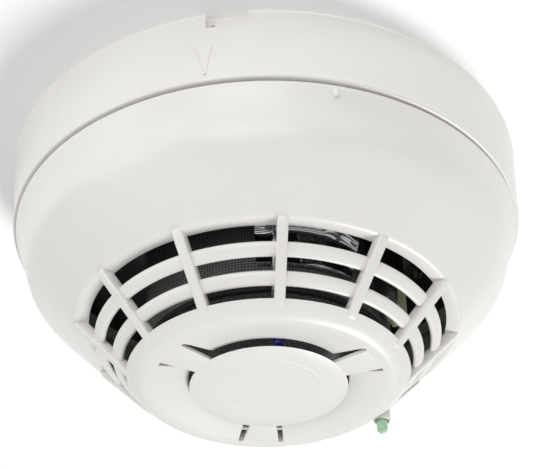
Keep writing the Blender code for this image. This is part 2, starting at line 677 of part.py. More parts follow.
def build_status_light(led_finish, pipe_finish, parent):
    led = rectangle(LED_SIDE, LIGHT_PLACE - LED_SIDE / 2, LIGHT_PLACE + LED_SIDE / 2)
    led_bottom = ON_BOARD + LED_HEIGHT
    prism("status_led", led, ON_BOARD, led_bottom, led_finish, parent, LIGHT_AZIMUTH)

    tip = HEAD_DEPTH + PIPE_TIP
    outline = [(0, led_bottom + CLEARANCE), (PIPE_RADIUS, led_bottom + CLEARANCE),
               (PIPE_RADIUS, tip - PIPE_RADIUS)]
    for i in range(1, 4):
        angle = math.pi / 2 * i / 4
        outline.append((PIPE_RADIUS * math.cos(angle), tip - PIPE_RADIUS * (1 - math.sin(angle))))
    outline.append((0, tip))
    place = empty("place_light_pipe", parent, polar(LIGHT_PLACE, LIGHT_AZIMUTH))
    turned("light_pipe", outline, pipe_finish, place, steps=16)


# ---------------------------------------------------------------- front cover

def cover_outline():
    """Closed outline: down the outside, round the rim, into the bowl and back up inside."""
    foot = (FOOT_RADIUS, FOOT_DEPTH)
    crest = (RIM_RADIUS, RIM_DEPTH)
    slope = (SHOULDER_RADIUS - FOOT_RADIUS) / (FOOT_DEPTH - SHOULDER_DEPTH)
    rim_corner = (FOOT_RADIUS - (RIM_DEPTH - FOOT_DEPTH) * slope, RIM_DEPTH)
    outside = [(COVER_RADIUS, COVER_TOP), *BAND]
    outside += bend(foot, rim_corner, crest, 4)
    outside += [(RIM_RADIUS - inwards, RIM_DEPTH - up) for inwards, up in RIM_ROUNDING]
    outside += [(BOWL_RADIUS, BOWL_DEPTH)]
    inside = [
        (BOWL_RADIUS, BOWL_DEPTH - BOWL_WALL), (RIM_RADIUS - 4.3, RIM_DEPTH - 1.8),
        (RIM_RADIUS - 1.0, RIM_DEPTH - 1.7),
        (cone_radius(FOOT_DEPTH + 0.4) - GRILLE_WALL, FOOT_DEPTH + 0.4),
        (cone_radius(GRILLE_TOP - 0.8) - GRILLE_WALL, GRILLE_TOP - 0.8),
        (SHOULDER_RADIUS - 2.7, SHOULDER_DEPTH - 0.6), (BAND[1][0] - 2.8, BAND[1][1] + 0.6),
        (BAND[0][0] - COVER_WALL, BAND[0][1]), (COVER_RADIUS - COVER_WALL, COVER_TOP),
    ]
    return outside + inside


def rib_outline():
    """Corners of a rib seen from the side, as (radius, depth)."""
    top, bottom = GRILLE_TOP - 0.4, FOOT_DEPTH + 0.45
    return [
        (cone_radius(top) - 1.0, top - 0.25), (cone_radius(top) + 0.1, top),
        (cone_radius(top + 0.8) + RIB_PROUD, top + 0.8), (cone_radius(bottom) + RIB_PROUD, bottom),
        (cone_radius(bottom) - GRILLE_WALL + 1.0, bottom + 0.1),
        (cone_radius(FOOT_DEPTH - 0.5) - GRILLE_WALL + 0.15, FOOT_DEPTH - 0.5),
        (cone_radius(GRILLE_TOP) - GRILLE_WALL + 0.31, GRILLE_TOP - 0.27),
    ]


def add_rib(builder, azimuth):
    turn = Matrix.Rotation(math.radians(azimuth), 3, "Z")
    sides = [
        [builder.verts.new(turn @ Vector((x, -r, -d)) * MM) for r, d in rib_outline()]
        for x in (-RIB_WIDTH / 2, RIB_WIDTH / 2)
    ]
    left, right = sides
    builder.faces.new(left)
    builder.faces.new(right)
    for i in range(len(left)):
        j = (i + 1) % len(left)
        builder.faces.new((left[i], left[j], right[j], right[i]))


def slat_outline(rise):
    """Six-sided bar whose broad side follows the cone."""
    depth = FOOT_DEPTH - rise
    along = Vector((FOOT_RADIUS - SHOULDER_RADIUS, FOOT_DEPTH - SHOULDER_DEPTH)).normalized()
    out = Vector((along.y, -along.x))
    centre = Vector((cone_radius(depth), depth)) - out * SLAT_SETBACK
    width, thickness = SLAT_HALF_WIDTH, SLAT_HALF_THICKNESS
    corners = (
        (-width, 0), (-0.6 * width, thickness), (0.6 * width, thickness),
        (width, 0), (0.6 * width, -thickness), (-0.6 * width, -thickness),
    )
    return [tuple(centre + along * a + out * o) for a, o in corners]


def arm_half_width(radius):
    """Arms widen evenly from the disc outwards."""
    share = (radius - DISC_RADIUS) / ARM_REACH
    return (ARM_WIDTHS[0] + (ARM_WIDTHS[1] - ARM_WIDTHS[0]) * share) / 2


def add_arm(builder, azimuth):
    """An arm that rises from inside the disc's edge to inside the rim."""
    turn = Matrix.Rotation(math.radians(azimuth), 3, "Z")
    face = HEAD_DEPTH - OVERLAP / 4
    ends = []
    for radius, depth in ((DISC_RADIUS - ARM_ROOT, face),
                          (DISC_RADIUS + ARM_REACH + ARM_ANCHOR, face - ARM_RISE)):
        half = arm_half_width(radius)
        top = depth - DISC_THICKNESS + OVERLAP / 2
        corners = ((-half, top), (half, top), (half, depth), (-half, depth))
        ends.append([builder.verts.new(turn @ Vector((x, -radius, -d)) * MM) for x, d in corners])
    near, far = ends
    builder.faces.new(near)
    builder.faces.new(far)
    for i in range(4):
        j = (i + 1) % 4
        builder.faces.new((near[i], near[j], far[j], far[i]))


def arm_opening_corners():
    """Opening through the bowl round one arm, with a slot left along each of its sides."""
    inner, outer = BOWL_RADIUS - 2.0, DISC_RADIUS + ARM_REACH - 0.4
    narrow, wide = arm_half_width(inner) + ARM_SLOT, arm_half_width(outer) + ARM_SLOT
    return [(-narrow, -inner), (narrow, -inner), (wide, -outer), (-wide, -outer)]


def build_cover(plastic, parent):
    cover = turned("front_cover", cover_outline(), plastic, parent)
    width, thickness, height = TICK_SIZE
    middle = COVER_TOP + TICK_DROP + height / 2
    face = COVER_RADIUS - BAND_POINTS[0][1] * (middle - COVER_TOP) / BAND_POINTS[0][0]
    tick = rectangle(width, face - thickness, face + 0.4)
    join(cover, prism("join_tick", tick, middle - height / 2, middle + height / 2, None, parent,
                      TICK_AZIMUTH))

    opening = ring_outline(
        RIM_RADIUS - 1.4, SHOULDER_RADIUS + 4, GRILLE_TOP, FOOT_DEPTH - 0.3)
    cut(cover, turned("cut_grille", opening, None, parent))

    ribs = bmesh.new()
    for i in range(RIBS):
        add_rib(ribs, 360 * i / RIBS)
    join(cover, finish_object("join_ribs", ribs, parent=parent))
    for number, rise in enumerate(SLAT_RISES, 1):
        join(cover, turned(f"join_slat_{number}", slat_outline(rise), None, parent))

    openings = bmesh.new()
    for azimuth in ARMS:
        add_prism(openings, arm_opening_corners(), BOWL_DEPTH - 3, HEAD_DEPTH + 1, azimuth)
    cut(cover, finish_object("cut_arm_openings", openings, parent=parent))
    arms = bmesh.new()
    for azimuth in ARMS:
        add_arm(arms, azimuth)
    join(cover, finish_object("join_arms", arms, parent=parent))
    disc = circle(DISC_RADIUS, 0.0, 60)
    join(cover, prism("join_disc", disc, HEAD_DEPTH - DISC_THICKNESS, HEAD_DEPTH, None, parent, 3.0))

    boss = circle(BOSS_RADIUS, LIGHT_PLACE, 20)
    boss_end = HEAD_DEPTH - BOSS_END
    join(cover, prism("join_light_boss", boss, boss_end - BOSS_LENGTH, boss_end, None, parent,
                      LIGHT_AZIMUTH))
    bore = circle(PIPE_RADIUS + CLEARANCE, LIGHT_PLACE)
    cut(cover, prism("cut_light_bore", bore, GRILLE_TOP, HEAD_DEPTH + 1, None, parent,
                     LIGHT_AZIMUTH))


# ---------------------------------------------------------------- assembly

def main():
    for existing in list(bpy.data.objects):
        bpy.data.objects.remove(existing, do_unlink=True)

    white = material("white_plastic", (0.80, 0.79, 0.76), 0.35)
    inner_white = material("inner_plastic", (0.72, 0.71, 0.68), 0.45)
    black = material("black_plastic", (0.012, 0.012, 0.013), 0.5)
    brass = material("plated_brass", (0.72, 0.64, 0.42), 0.3, 1.0)
    zinc = material("zinc_steel", (0.62, 0.63, 0.65), 0.32, 1.0)
    screen = material("screen_mesh", (0.05, 0.05, 0.055), 0.4, 0.8)
    laminate = material("black_laminate", (0.012, 0.014, 0.013), 0.4)
    tin = material("tinned_steel", (0.78, 0.78, 0.78), 0.18, 1.0)
    lead_wire = material("tinned_wire", (0.7, 0.7, 0.7), 0.3, 1.0)
    bead = material("blue_epoxy", (0.02, 0.03, 0.30), 0.3)
    green_clear = material("green_clear_plastic", (0.35, 0.62, 0.38), 0.2)
    pale_clear = material("pale_clear_plastic", (0.62, 0.66, 0.42), 0.25)
    emitter_blue = material("emitter_resin", (0.08, 0.10, 0.22), 0.15)
    diode_dark = material("photodiode_resin", (0.03, 0.02, 0.03), 0.15)
    led_body = material("led_body", (0.75, 0.75, 0.70), 0.4)

    base_frame = empty("base_frame")
    head_frame = empty("head_frame", base_frame)
    cover_frame = empty("cover_frame", head_frame)
    lock_frame = empty("lock_frame", base_frame)

    build_base(white, base_frame)
    for number, azimuth in enumerate(TERMINALS, 1):
        build_terminal(number, azimuth, brass, zinc, base_frame)
    build_tamper_lock(inner_white, lock_frame)

    build_rear_shell(inner_white, head_frame)
    build_contact_blades(brass, head_frame)
    build_board(laminate, zinc, head_frame)
    build_chamber(black, screen, head_frame)
    build_optic("ir_emitter", EMITTER_AZIMUTH, emitter_blue, head_frame)
    build_optic("photodiode", PHOTODIODE_AZIMUTH, diode_dark, head_frame)
    build_board_pieces(
        {"shield": tin, "capacitor": black, "guide": pale_clear, "chip": diode_dark}, head_frame)
    build_thermistor(bead, lead_wire, head_frame)
    build_status_light(led_body, green_clear, head_frame)

    build_cover(white, cover_frame)


main()
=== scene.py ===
"""Looks of the ceiling detector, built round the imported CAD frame.

Sizes are in millimetres until a mesh is made. A depth is measured down from the
ceiling, and an azimuth turns about +Z from the front, -Y, towards +X.
"""

import json
import math
import random

import bmesh
import bpy
from mathutils import Matrix, Vector


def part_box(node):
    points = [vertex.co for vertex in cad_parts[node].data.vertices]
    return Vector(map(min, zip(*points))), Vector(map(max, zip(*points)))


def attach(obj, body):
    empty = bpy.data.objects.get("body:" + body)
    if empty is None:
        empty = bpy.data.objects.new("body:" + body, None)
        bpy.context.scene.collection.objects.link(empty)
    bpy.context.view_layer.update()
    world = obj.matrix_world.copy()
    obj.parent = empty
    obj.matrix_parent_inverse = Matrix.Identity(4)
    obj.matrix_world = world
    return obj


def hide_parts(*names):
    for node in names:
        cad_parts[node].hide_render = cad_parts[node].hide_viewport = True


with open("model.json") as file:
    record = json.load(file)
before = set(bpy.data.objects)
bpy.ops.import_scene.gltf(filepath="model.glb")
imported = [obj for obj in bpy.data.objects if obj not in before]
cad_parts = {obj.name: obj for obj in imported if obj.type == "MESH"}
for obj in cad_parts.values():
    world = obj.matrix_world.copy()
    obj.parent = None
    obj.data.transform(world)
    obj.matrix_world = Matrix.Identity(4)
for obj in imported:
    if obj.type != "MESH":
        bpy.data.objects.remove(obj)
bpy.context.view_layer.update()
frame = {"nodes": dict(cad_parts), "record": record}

MM = 0.001
random.seed(7)


def high(node, axis):
    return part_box(node)[1][axis] / MM


def low(node, axis):
    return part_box(node)[0][axis] / MM


# ---------------------------------------------------------------- driving sizes

BASE_RADIUS = high("mounting_base", 0)
BASE_DEPTH = -low("mounting_base", 2)
COVER_RADIUS = high("front_cover", 0)
COVER_TOP = -high("front_cover", 2)
HEAD_DEPTH = -low("front_cover", 2)
SCREEN_RADIUS = high("insect_screen", 0)
SCREEN_DEPTH = -low("insect_screen", 2)
BOARD_DEPTH = -low("circuit_board", 2)

ROUND = 240                     # sides of the big turned pieces
RIBS = 12
RIB_WIDTH = 2.0
RIB_PROUD = 0.45
GRILLE_WALL = 2.7
SHOULDER = (COVER_RADIUS - 5.5, COVER_TOP + 12.4)
FOOT = (27.2, HEAD_DEPTH - 2.4)
GRILLE_TOP = FOOT[1] - 10.7
RING_TOP = FOOT[1] - 0.3
CREST = (23.6, HEAD_DEPTH - 0.2)
BOWL_EDGE = (15.4, HEAD_DEPTH - 1.6)
DISC_RADIUS = 15.2
DISC_RING = 10.0
ARMS = (-60.0, 60.0, 180.0)
ARM_WIDTHS = (5.3, 7.4)
ARM_REACH = 7.2
ARM_ROOT, ARM_ANCHOR = 1.7, 1.2     # lengths sunk into the disc and into the rim
ARM_RISE = 0.36
ARM_THICKNESS = 0.8
ARM_SLOT = 1.0
SLAT_RISES = (6.45, 2.65)
SLAT_SETBACK = 1.05
SLAT_HALF_WIDTH, SLAT_HALF_THICKNESS = 1.4, 0.65
LIGHT_AZIMUTH = 120.0
LIGHT_PLACE = 27.4
BOSS_RADIUS, BORE_RADIUS = 1.75, 1.42
BOSS_END, BOSS_LENGTH = 0.9, 6.0
TICK_AZIMUTH = 10.2
TICK_WIDTH, TICK_TOP, TICK_BOTTOM = 0.95, 0.2, 2.4     # from the cover's top edge


# ---------------------------------------------------------------- mesh helpers

def make_object(name, builder, smooth_angle=32):
    bmesh.ops.recalc_face_normals(builder, faces=builder.faces)
    mesh = bpy.data.meshes.new(name)
    builder.to_mesh(mesh)
    builder.free()
    mesh.shade_smooth()
    mesh.set_sharp_from_angle(angle=math.radians(smooth_angle))
    made = bpy.data.objects.new(name, mesh)
    bpy.context.collection.objects.link(made)
    return made


def add_turned(builder, outline, start=0.0, end=360.0, steps=ROUND, closed=True):
    """Adds an outline of (radius, depth) points, turned about Z."""
    whole = abs(end - start - 360.0) < 1e-6
    rows = []
    for step in range(steps if whole else steps + 1):
        angle = math.radians(start + (end - start) * step / steps)
        rows.append([
            builder.verts.new((r * math.sin(angle) * MM, -r * math.cos(angle) * MM, -d * MM))
            for r, d in outline
        ])
    sides = len(outline) if closed else len(outline) - 1
    for i in range(steps):
        row, after = rows[i], rows[(i + 1) % len(rows)]
        for j in range(sides):
            k = (j + 1) % len(outline)
            builder.faces.new((row[j], row[k], after[k], after[j]))
    if not whole:
        builder.faces.new(rows[0])
        builder.faces.new(rows[-1])
    bmesh.ops.remove_doubles(builder, verts=builder.verts, dist=1e-7)


def turned(name, outline, steps=ROUND):
    builder = bmesh.new()
    add_turned(builder, outline, steps=steps)
    return make_object(name, builder)


def add_prism(builder, corners, top, bottom, azimuth=0.0):
    """Adds a prism whose (x, y) corners run round a flat outline."""
    turn = Matrix.Rotation(math.radians(azimuth), 3, "Z")
    upper, lower = [
        [builder.verts.new(turn @ Vector((x, y, -depth)) * MM) for x, y in corners]
        for depth in (top, bottom)
    ]
    faces = [builder.faces.new(upper), builder.faces.new(lower)]
    for i in range(len(corners)):
        j = (i + 1) % len(corners)
        faces.append(builder.faces.new((upper[i], upper[j], lower[j], lower[i])))
    return faces


def rectangle(width, inner, outer):
    half = width / 2
    return [(-half, -inner), (half, -inner), (half, -outer), (-half, -outer)]


def circle(radius, centre=0.0, steps=32):
    return [
        (radius * math.cos(2 * math.pi * i / steps),
         radius * math.sin(2 * math.pi * i / steps) - centre)
        for i in range(steps)
    ]


def bend(first, corner, last, steps):
    """A smooth curve that leaves and arrives along the corner's two sides."""
    points = []
    for i in range(steps + 1):
        t = i / steps
        points.append(tuple(
            (1 - t) ** 2 * a + 2 * t * (1 - t) * b + t * t * c
            for a, b, c in zip(first, corner, last)
        ))
    return points


def rounded(corners, radii, steps=5):
    """A closed outline with each corner rounded by its own radius."""
    outline = []
    count = len(corners)
    for i, radius in enumerate(radii):
        here = Vector(corners[i])
        before, after = Vector(corners[i - 1]), Vector(corners[(i + 1) % count])
        if radius <= 0:
            outline.append(tuple(here))
            continue
        start = here + (before - here).normalized() * radius
        end = here + (after - here).normalized() * radius
        outline += bend(tuple(start), tuple(here), tuple(end), steps)
    return outline


def through(points, steps):
    """A smooth curve through its points."""
    ends = [tuple(2 * a - b for a, b in zip(points[0], points[1])), *points,
            tuple(2 * a - b for a, b in zip(points[-1], points[-2]))]
    curve = []
    for i in range(1, len(ends) - 2):
        p0, p1, p2, p3 = ends[i - 1:i + 3]
        for step in range(steps):
            t = step / steps
            curve.append(tuple(
                0.5 * (2 * b + (c - a) * t + (2 * a - 5 * b + 4 * c - d) * t * t
                       + (3 * b - a - 3 * c + d) * t ** 3)
                for a, b, c, d in zip(p0, p1, p2, p3)
            ))
    curve.append(points[-1])
    return curve


def bevelled(target, width, segments=3, angle=35):
    change = target.modifiers.new("round_edges", "BEVEL")
    change.width = width * MM
    change.segments = segments
    change.limit_method = "ANGLE"
    change.angle_limit = math.radians(angle)
    change.harden_normals = False
    settle(target)


def settle(target, smooth_angle=32):
    """Applies every modifier to the mesh."""
    bpy.context.view_layer.update()
    graph = bpy.context.evaluated_depsgraph_get()
    mesh = bpy.data.meshes.new_from_object(target.evaluated_get(graph))
    target.modifiers.clear()
    old = target.data
    target.data = mesh
    bpy.data.meshes.remove(old)
    mesh.shade_smooth()
    mesh.set_sharp_from_angle(angle=math.radians(smooth_angle))


def combine(target, tool, operation):
    change = target.modifiers.new(tool.name, "BOOLEAN")
    change.operation = operation
    change.solver = "EXACT"
    change.object = tool
    settle(target)
    bpy.data.objects.remove(tool, do_unlink=True)


def cut(target, tool):
    combine(target, tool, "DIFFERENCE")


def join(target, tool):
    combine(target, tool, "UNION")


def merge(name, objects):
    """One object from several, each kept as its own shell."""
    builder = bmesh.new()
    for item in objects:
        item.data.transform(item.matrix_world)
        builder.from_mesh(item.data)
    for item in objects:
        bpy.data.objects.remove(item, do_unlink=True)
    mesh = bpy.data.meshes.new(name)
    builder.to_mesh(mesh)
    builder.free()
    made = bpy.data.objects.new(name, mesh)
    bpy.context.collection.objects.link(made)
    return made


# ---------------------------------------------------------------- materials

class Finish:
    """A node material that starts as one Principled shader."""

    def __init__(self, name, colour, roughness, metallic=0.0):
        self.material = bpy.data.materials.new(name)
        self.material.use_nodes = True
        self.tree = self.material.node_tree
        self.shader = self.tree.nodes["Principled BSDF"]
        self.colour = (*colour, 1.0)
        self.shader.inputs["Base Color"].default_value = self.colour
        self.shader.inputs["Roughness"].default_value = roughness
        self.shader.inputs["Metallic"].default_value = metallic
        self.roughness = roughness
        self.place = self.tree.nodes.new("ShaderNodeTexCoord").outputs["Object"]

    def node(self, kind, **values):
        made = self.tree.nodes.new(kind)
        for key, value in values.items():
            setattr(made, key, value)
        return made

    def link(self, source, target):
        self.tree.links.new(source, target)

    def noise(self, size, detail=3.0, stretch=None):
        """Noise whose features are about this many millimetres across."""
        texture = self.node("ShaderNodeTexNoise")
        texture.inputs["Scale"].default_value = 1.0 / (size * MM)
        texture.inputs["Detail"].default_value = detail
        place = self.place
        if stretch:
            mapping = self.node("ShaderNodeMapping")
            mapping.inputs["Scale"].default_value = stretch
            self.link(place, mapping.inputs["Vector"])
            place = mapping.outputs["Vector"]
        self.link(place, texture.inputs["Vector"])
        return texture.outputs["Fac"]

    def spread(self, value, low_end, high_end):
        """Spreads the middle of a 0 to 1 value between two numbers."""
        ramp = self.node("ShaderNodeMapRange")
        ramp.inputs["From Min"].default_value = 0.3
        ramp.inputs["From Max"].default_value = 0.7
        ramp.inputs["To Min"].default_value = low_end
        ramp.inputs["To Max"].default_value = high_end
        self.link(value, ramp.inputs["Value"])
        return ramp.outputs["Result"]

    def vary_colour(self, value, other, socket="Base Color"):
        mix = self.node("ShaderNodeMix", data_type="RGBA")
        mix.inputs["A"].default_value = self.colour
        mix.inputs["B"].default_value = (*other, 1.0)
        self.link(value, mix.inputs["Factor"])
        self.link(mix.outputs["Result"], self.shader.inputs[socket])

    def vary_roughness(self, value, amount):
        result = self.spread(value, self.roughness - amount, self.roughness + amount)
        self.link(result, self.shader.inputs["Roughness"])

    def bump(self, value, height, strength=1.0):
        """Bump this many millimetres high, on top of any earlier one."""
        made = self.node("ShaderNodeBump")
        made.inputs["Distance"].default_value = height * MM
        made.inputs["Strength"].default_value = strength
        self.link(value, made.inputs["Height"])
        earlier = self.shader.inputs["Normal"].links
        if earlier:
            self.link(earlier[0].from_socket, made.inputs["Normal"])
        self.link(made.outputs["Normal"], self.shader.inputs["Normal"])


def moulded_plastic(name, colour, shade, roughness, grain=0.22, height=0.006, coat=0.0):
    finish = Finish(name, colour, roughness)
    finish.vary_colour(finish.spread(finish.noise(14.0, 4.0), 0.0, 1.0), shade)
    finish.vary_roughness(finish.noise(3.5, 3.0), 0.05)
    finish.bump(finish.noise(9.0, 2.0), 0.030)
    finish.bump(finish.noise(grain, 2.0), height)
    finish.shader.inputs["IOR"].default_value = 1.49
    finish.shader.inputs["Coat Weight"].default_value = coat
    finish.shader.inputs["Coat Roughness"].default_value = 0.18
    return finish.material


def plated_metal(name, colour, other, roughness, stretch=(1.0, 1.0, 1.0)):
    finish = Finish(name, colour, roughness, 1.0)
    finish.vary_colour(finish.spread(finish.noise(2.2, 4.0), 0.0, 1.0), other)
    finish.vary_roughness(finish.noise(0.6, 3.0, stretch), 0.08)
    finish.bump(finish.noise(0.35, 3.0, stretch), 0.006)
    return finish.material


def bright_tin():
    """Rolled sheet with beads and soft dents that pull its reflections into streaks."""
    finish = Finish("tinned_steel", (0.86, 0.86, 0.86), 0.10, 1.0)
    finish.vary_colour(finish.spread(finish.noise(3.0, 4.0), 0.0, 1.0), (0.70, 0.71, 0.73))
    finish.vary_roughness(finish.noise(1.2, 3.0), 0.05)
    beads = finish.node("ShaderNodeTexWave", bands_direction="Z")
    beads.inputs["Scale"].default_value = math.pi / 10 / (BEAD_PITCH * MM)
    beads.inputs["Distortion"].default_value = 3.0
    beads.inputs["Detail"].default_value = 1.0
    finish.link(finish.place, beads.inputs["Vector"])
    finish.bump(beads.outputs["Fac"], 1.2)
    finish.bump(finish.noise(5.0, 1.0), 0.7)
    finish.bump(finish.noise(0.4, 2.0, (1.0, 1.0, 0.15)), 0.004)
    return finish.material


WEAVE_PITCH = 0.62
BEAD_PITCH = 3.6                # of the beads rolled into the shield's sheet


def woven_screen(name, pitch, flat):
    """Plain weave: wires that pass over and under each other. The holes are painted near black as
    painted shade for the dark chamber seen through them, and each wire is painted lighter on its crown
    than at its sides, a painted highlight over the wire's own grey.
    """
    finish = Finish(name, (0.004, 0.004, 0.005), 0.42)
    split = finish.node("ShaderNodeSeparateXYZ")
    finish.link(finish.place, split.inputs["Vector"])
    if flat:
        along, across = split.outputs["X"], split.outputs["Y"]
    else:
        turn = finish.node("ShaderNodeMath", operation="ARCTAN2")
        finish.link(split.outputs["X"], turn.inputs[0])
        finish.link(split.outputs["Y"], turn.inputs[1])
        length = finish.node("ShaderNodeMath", operation="MULTIPLY")
        length.inputs[1].default_value = SCREEN_RADIUS * MM
        finish.link(turn.outputs[0], length.inputs[0])
        along, across = length.outputs[0], split.outputs["Z"]

    def wave(source, shift, per_pitch):
        scaled = finish.node("ShaderNodeMath", operation="MULTIPLY_ADD")
        scaled.inputs[1].default_value = math.pi * per_pitch / (pitch * MM)
        scaled.inputs[2].default_value = shift
        finish.link(source, scaled.inputs[0])
        sine = finish.node("ShaderNodeMath", operation="SINE")
        finish.link(scaled.outputs[0], sine.inputs[0])
        return sine.outputs[0]

    def combine_values(operation, first, second):
        made = finish.node("ShaderNodeMath", operation=operation)
        finish.link(first, made.inputs[0])
        if isinstance(second, float):
            made.inputs[1].default_value = second
        else:
            finish.link(second, made.inputs[1])
        return made.outputs[0]

    over = combine_values("MULTIPLY", wave(along, math.pi / 2, 1), wave(across, math.pi / 2, 1))
    wires = []
    for source, sign in ((along, 1.0), (across, -1.0)):
        ridge = combine_values("ABSOLUTE", wave(source, 0.0, 1), 0.0)
        crown = combine_values("SUBTRACT", ridge, 0.42)
        lift = combine_values("MULTIPLY", over, 0.25 * sign)
        wires.append(combine_values("ADD", crown, lift))
    height = combine_values("MAXIMUM", *wires)
    # painted light: colour follows the weave's height, near black in the holes as painted shade and
    # lightest on each wire's crown as a painted highlight
    painted_weave_light = finish.node("ShaderNodeMapRange")
    painted_weave_light.inputs["From Min"].default_value = 0.05
    painted_weave_light.inputs["From Max"].default_value = 0.55
    finish.link(height, painted_weave_light.inputs["Value"])
    finish.vary_colour(painted_weave_light.outputs["Result"], (0.26, 0.26, 0.265))
    finish.bump(height, 0.12)
    finish.shader.inputs["Metallic"].default_value = 0.35
    return finish.material


def circuit_laminate():
    """Black solder mask over copper pours."""
    finish = Finish("black_laminate", (0.010, 0.012, 0.011), 0.34)
    cells = finish.node("ShaderNodeTexVoronoi", feature="DISTANCE_TO_EDGE", distance="MANHATTAN")
    cells.inputs["Scale"].default_value = 1.0 / (4.2 * MM)
    finish.link(finish.place, cells.inputs["Vector"])
    ramp = finish.node("ShaderNodeMapRange")
    ramp.inputs["From Min"].default_value = 0.03
    ramp.inputs["From Max"].default_value = 0.06
    finish.link(cells.outputs["Distance"], ramp.inputs["Value"])
    finish.vary_colour(ramp.outputs["Result"], (0.017, 0.021, 0.019))
    finish.bump(ramp.outputs["Result"], 0.035)
    finish.bump(finish.noise(0.5, 2.0), 0.006)
    finish.shader.inputs["Coat Weight"].default_value = 0.35
    finish.shader.inputs["Coat Roughness"].default_value = 0.15
    return finish.material


def clear_plastic(name, colour, other, roughness, passing):
    """Tinted moulding that light passes through."""
    finish = Finish(name, colour, roughness)
    finish.vary_colour(finish.spread(finish.noise(1.6, 2.0), 0.0, 1.0), other)
    finish.vary_roughness(finish.noise(0.8, 2.0), 0.04)
    finish.bump(finish.noise(0.9, 1.0), 0.012)
    finish.shader.inputs["Transmission Weight"].default_value = passing
    finish.shader.inputs["IOR"].default_value = 1.5
    finish.shader.inputs["Subsurface Weight"].default_value = 0.3
    finish.shader.inputs["Subsurface Radius"].default_value = (0.001, 0.0016, 0.001)
    return finish.material


def make_materials():
    return {
        "white_plastic": moulded_plastic(
            "white_plastic", (0.755, 0.740, 0.715), (0.735, 0.718, 0.690), 0.34, coat=0.15),
        "inner_plastic": moulded_plastic(
            "inner_plastic", (0.74, 0.73, 0.70), (0.70, 0.69, 0.66), 0.5, 0.3, 0.012),
        "black_plastic": moulded_plastic(
            "black_plastic", (0.010, 0.010, 0.011), (0.018, 0.018, 0.019), 0.48, 0.3, 0.012),
        "plated_brass": plated_metal("plated_brass", (0.76, 0.66, 0.42), (0.66, 0.55, 0.33), 0.26),
        "zinc_steel": plated_metal("zinc_steel", (0.66, 0.67, 0.70), (0.56, 0.56, 0.55), 0.30),
        "tinned_steel": bright_tin(),
        "tinned_wire": plated_metal(
            "tinned_wire", (0.74, 0.74, 0.74), (0.60, 0.60, 0.61), 0.28, (1.0, 1.0, 0.2)),
        "black_laminate": circuit_laminate(),
        "blue_epoxy": moulded_plastic(
            "blue_epoxy", (0.010, 0.022, 0.300), (0.008, 0.012, 0.180), 0.22, 0.5, 0.01, 0.4),
        "green_clear_plastic": clear_plastic(
            "green_clear_plastic", (0.50, 0.74, 0.52), (0.42, 0.66, 0.45), 0.16, 0.20),
        "pale_clear_plastic": clear_plastic(
            "pale_clear_plastic", (0.70, 0.74, 0.50), (0.62, 0.66, 0.40), 0.22, 0.25),
        "emitter_resin": clear_plastic(
            "emitter_resin", (0.10, 0.14, 0.34), (0.06, 0.08, 0.24), 0.10, 0.4),
        "photodiode_resin": moulded_plastic(
            "photodiode_resin", (0.030, 0.016, 0.020), (0.020, 0.010, 0.014), 0.15, 0.5, 0.006, 0.3),
        "led_body": moulded_plastic(
            "led_body", (0.76, 0.75, 0.70), (0.70, 0.69, 0.63), 0.4, 0.2, 0.01),
        "chip_resin": moulded_plastic(
            "chip_resin", (0.020, 0.020, 0.022), (0.030, 0.030, 0.031), 0.55, 0.12, 0.02),
        "black_sleeve": moulded_plastic(
            "black_sleeve", (0.014, 0.014, 0.018), (0.022, 0.022, 0.026), 0.28, 0.8, 0.02, 0.2),
        "screen_side": woven_screen("screen_side", WEAVE_PITCH, False),
        "screen_end": woven_screen("screen_end", WEAVE_PITCH, True),
    }


def dress(piece, body, finish, slot_name, *nodes):
    """Gives a new piece its finish and its body, and hides the nodes that it stands for."""
    if finish:
        piece.data.materials.clear()
        piece.data.materials.append(finish)
    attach(piece, body)
    if nodes:
        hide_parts(*nodes)


# ---------------------------------------------------------------- front cover

def cone_radius(depth):
    share = (depth - SHOULDER[1]) / (FOOT[1] - SHOULDER[1])
    return SHOULDER[0] + (FOOT[0] - SHOULDER[0]) * share


def upper_shell():
    """Skirt and cone, down to the shelf above the openings."""
    lip = 0.35
    outside = through([
        (COVER_RADIUS - 0.1, COVER_TOP + 0.45), (COVER_RADIUS - 1.5, COVER_TOP + 3.9),
        (COVER_RADIUS - 2.6, COVER_TOP + 8.0), (COVER_RADIUS - 3.6, COVER_TOP + 10.1), SHOULDER,
        (cone_radius(SHOULDER[1] + 4), SHOULDER[1] + 4),
        (cone_radius(GRILLE_TOP - 0.5), GRILLE_TOP - 0.5),
    ], 7)
    shelf = bend(outside[-1], (cone_radius(GRILLE_TOP), GRILLE_TOP),
                 (cone_radius(GRILLE_TOP) - 0.6, GRILLE_TOP), 5)[1:]
    inner_edge = cone_radius(GRILLE_TOP) - GRILLE_WALL
    shelf += bend((inner_edge + 0.3, GRILLE_TOP), (inner_edge, GRILLE_TOP),
                  (inner_edge + 0.25, GRILLE_TOP - 0.3), 4)
    inside = [
        (cone_radius(GRILLE_TOP - 5) - GRILLE_WALL, GRILLE_TOP - 5),
        (SHOULDER[0] - 2.7, SHOULDER[1] - 0.6), (COVER_RADIUS - 4.1, COVER_TOP + 4.6),
        (COVER_RADIUS - 2.2, COVER_TOP + 0.2), (COVER_RADIUS - 2.0, COVER_TOP),
    ]
    top = bend((COVER_RADIUS - lip - 0.1, COVER_TOP), (COVER_RADIUS, COVER_TOP),
               (COVER_RADIUS - 0.05, COVER_TOP + lip), 4)[:-1]
    return turned("front_cover_shell", outside + shelf + inside + top)


